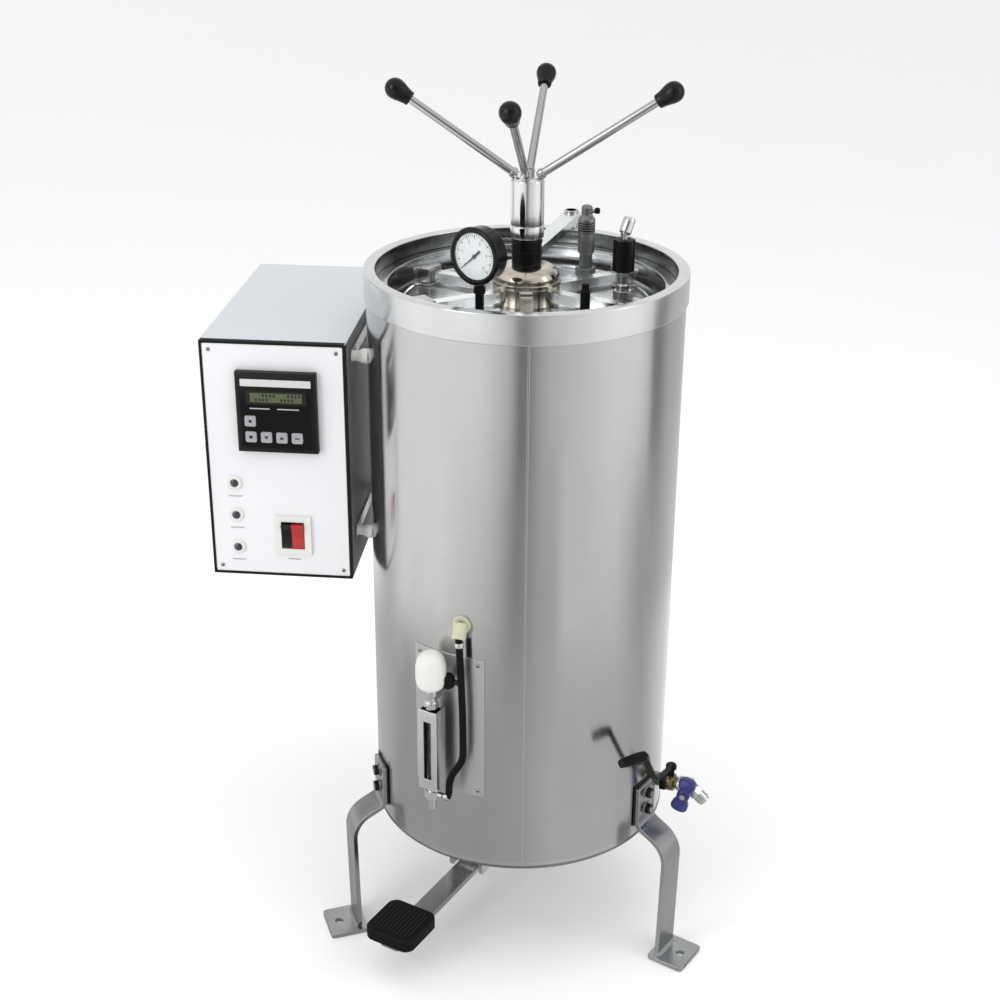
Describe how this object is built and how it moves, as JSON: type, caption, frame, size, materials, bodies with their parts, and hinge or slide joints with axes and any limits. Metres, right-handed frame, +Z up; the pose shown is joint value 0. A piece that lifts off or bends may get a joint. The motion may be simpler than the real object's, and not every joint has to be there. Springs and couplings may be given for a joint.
{
  "type": "vertical autoclave",
  "caption": "Floor-standing vertical steam autoclave with a pedal-lifted radial-locking lid, side control box, water level gauge and drain line.",
  "frame": {"origin": "centre of the bounding box on the floor, below the three feet; the vessel axis stands at x 0.0629, y -0.0224", "axes": "+Z up along the vessel axis, -Y towards the front of the control box, +X from the control box towards the vessel"},
  "size_m": [0.628, 0.4952, 1.1036],
  "materials": {
    "stainless_polished": "polished stainless sheet",
    "steel_satin": "satin stainless steel",
    "chrome_bright": "bright chrome plate",
    "bronze_cast": "machined bronze",
    "brass_plated": "brass fitting",
    "rubber_black": "matt black rubber",
    "plastic_black": "black phenolic and ABS",
    "plastic_grey": "grey moulded plastic",
    "plastic_white": "white moulded plastic",
    "plastic_blue": "blue coated handle",
    "plastic_red": "red switch rocker",
    "powder_grey": "light grey powder coat",
    "panel_white": "white satin panel",
    "silicone_seal": "silicone rubber",
    "mineral_wool": "mineral wool blanket",
    "gauge_glass": "clear glass tube"
  },
  "bodies": {
    "frame": {"outer_shell": "stainless_polished", "rim_band": "stainless_polished", "locking_ring": "steel_satin", "chamber": "steel_satin", "bottom_cover": "steel_satin", "insulation_blanket": "mineral_wool", "heating_element": "steel_satin", "load_basket": "steel_satin", "leg_left": "steel_satin", "leg_right": "steel_satin", "leg_rear": "steel_satin", "control_housing": "powder_grey", "front_panel": "panel_white", "controller_case": "plastic_black", "switch_frame": "plastic_white", "power_module": "plastic_grey", "standoff_upper": "plastic_white", "standoff_lower": "plastic_white", "gauge_plate": "steel_satin", "gauge_channel": "steel_satin", "gauge_glass": "gauge_glass", "gauge_cap": "plastic_white", "gauge_foot": "steel_satin", "gauge_hose": "rubber_black", "drain_valve_body": "brass_plated", "outlet_valve_body": "steel_satin", "lift_guide": "steel_satin"},
    "pedal": {"pedal_lever": "steel_satin", "pedal_pad": "rubber_black"},
    "lid": {"lift_frame": "chrome_bright", "lid_plate": "stainless_polished", "lid_gasket": "silicone_seal", "hub_cover": "bronze_cast", "pressure_gauge": "plastic_black", "sensor_post": "plastic_black", "steam_valve_body": "steel_satin", "safety_valve_body": "steel_satin"},
    "capstan": {"spindle": "steel_satin", "capstan_head": "chrome_bright", "spoke_knob_1": "plastic_black", "spoke_knob_2": "plastic_black", "spoke_knob_3": "plastic_black", "spoke_knob_4": "plastic_black"},
    "bolt_1": {"lock_bolt_1": "steel_satin"},
    "bolt_2": {"lock_bolt_2": "steel_satin"},
    "bolt_3": {"lock_bolt_3": "steel_satin"},
    "bolt_4": {"lock_bolt_4": "steel_satin"},
    "bolt_5": {"lock_bolt_5": "steel_satin"},
    "bolt_6": {"lock_bolt_6": "steel_satin"},
    "needle": {"gauge_pointer": "plastic_black"},
    "steam_knob": {"steam_valve_knob": "plastic_black"},
    "safety_cap": {"safety_valve_cap": "steel_satin"},
    "drain_handle": {"drain_lever": "plastic_black"},
    "outlet_handle": {"outlet_wing": "plastic_blue"},
    "rocker": {"power_rocker": "plastic_red"},
    "button_1": {"key_1": "plastic_grey"},
    "button_2": {"key_2": "plastic_grey"},
    "button_3": {"key_3": "plastic_grey"},
    "button_4": {"key_4": "plastic_grey"},
    "button_5": {"key_5": "plastic_grey"}
  },
  "joints": [
    {"name": "pedal_press", "type": "hinge", "parent": "frame", "child": "pedal", "pos_m": [0.00097, -0.04587, 0.066], "axis": [0.9061, -0.4231, 0], "range_deg": [0, 13.2]},
    {"name": "lid_lift", "type": "slide", "parent": "frame", "child": "lid", "axis": [0, 0, 1], "range_m": [0, 0.056]},
    {"name": "capstan_turn", "type": "hinge", "parent": "lid", "child": "capstan", "pos_m": [0.06243, -0.02243, 0.95], "axis": [0, 0, 1], "range_deg": [0, 60]},
    {"name": "bolt_1_slide", "type": "slide", "parent": "lid", "child": "bolt_1", "axis": [0.0872, -0.9962, 0], "range_m": [0, 0.012]},
    {"name": "bolt_2_slide", "type": "slide", "parent": "lid", "child": "bolt_2", "axis": [0.9063, -0.4226, 0], "range_m": [0, 0.012]},
    {"name": "bolt_3_slide", "type": "slide", "parent": "lid", "child": "bolt_3", "axis": [0.8192, 0.5736, 0], "range_m": [0, 0.012]},
    {"name": "bolt_4_slide", "type": "slide", "parent": "lid", "child": "bolt_4", "axis": [-0.0872, 0.9962, 0], "range_m": [0, 0.012]},
    {"name": "bolt_5_slide", "type": "slide", "parent": "lid", "child": "bolt_5", "axis": [-0.9063, 0.4226, 0], "range_m": [0, 0.012]},
    {"name": "bolt_6_slide", "type": "slide", "parent": "lid", "child": "bolt_6", "axis": [-0.8192, -0.5736, 0], "range_m": [0, 0.012]},
    {"name": "needle_swing", "type": "hinge", "parent": "lid", "child": "needle", "pos_m": [0.01763, -0.1185, 0.9255], "axis": [0.515, 0.8572, 0], "range_deg": [0, 264], "stiffness_Nm_per_rad": 0.0002},
    {"name": "steam_valve_turn", "type": "hinge", "parent": "lid", "child": "steam_knob", "pos_m": [0.17459, -0.00866, 0.89], "axis": [0, 0, 1], "range_deg": [0, 270]},
    {"name": "safety_valve_lift", "type": "slide", "parent": "lid", "child": "safety_cap", "axis": [0, 0, 1], "range_m": [0, 0.003], "stiffness_N_per_m": 1500},
    {"name": "drain_lever_turn", "type": "hinge", "parent": "frame", "child": "drain_handle", "pos_m": [0.26134, -0.08324, 0.25], "axis": [0, 0, 1], "range_deg": [0, 90]},
    {"name": "outlet_wing_turn", "type": "hinge", "parent": "frame", "child": "outlet_handle", "pos_m": [0.28429, -0.09026, 0.2285], "axis": [0.2924, 0.9563, 0], "range_deg": [0, 90]},
    {"name": "rocker_tilt", "type": "hinge", "parent": "frame", "child": "rocker", "pos_m": [-0.21257, -0.09523, 0.561], "axis": [-1, 0, 0], "range_deg": [0, 16]},
    {"name": "key_1_press", "type": "slide", "parent": "frame", "child": "button_1", "axis": [0, 1, 0], "range_m": [0, 0.0008], "stiffness_N_per_m": 400},
    {"name": "key_2_press", "type": "slide", "parent": "frame", "child": "button_2", "axis": [0, 1, 0], "range_m": [0, 0.0008], "stiffness_N_per_m": 400},
    {"name": "key_3_press", "type": "slide", "parent": "frame", "child": "button_3", "axis": [0, 1, 0], "range_m": [0, 0.0008], "stiffness_N_per_m": 400},
    {"name": "key_4_press", "type": "slide", "parent": "frame", "child": "button_4", "axis": [0, 1, 0], "range_m": [0, 0.0008], "stiffness_N_per_m": 400},
    {"name": "key_5_press", "type": "slide", "parent": "frame", "child": "button_5", "axis": [0, 1, 0], "range_m": [0, 0.0008], "stiffness_N_per_m": 400}
  ],
  "couplings": [
    {"joint": "lid_lift", "follows": "pedal_press", "m_per_rad": 0.24307},
    {"joint": "bolt_1_slide", "follows": "capstan_turn", "m_per_rad": 0.011459},
    {"joint": "bolt_2_slide", "follows": "capstan_turn", "m_per_rad": 0.011459},
    {"joint": "bolt_3_slide", "follows": "capstan_turn", "m_per_rad": 0.011459},
    {"joint": "bolt_4_slide", "follows": "capstan_turn", "m_per_rad": 0.011459},
    {"joint": "bolt_5_slide", "follows": "capstan_turn", "m_per_rad": 0.011459},
    {"joint": "bolt_6_slide", "follows": "capstan_turn", "m_per_rad": 0.011459}
  ]
}
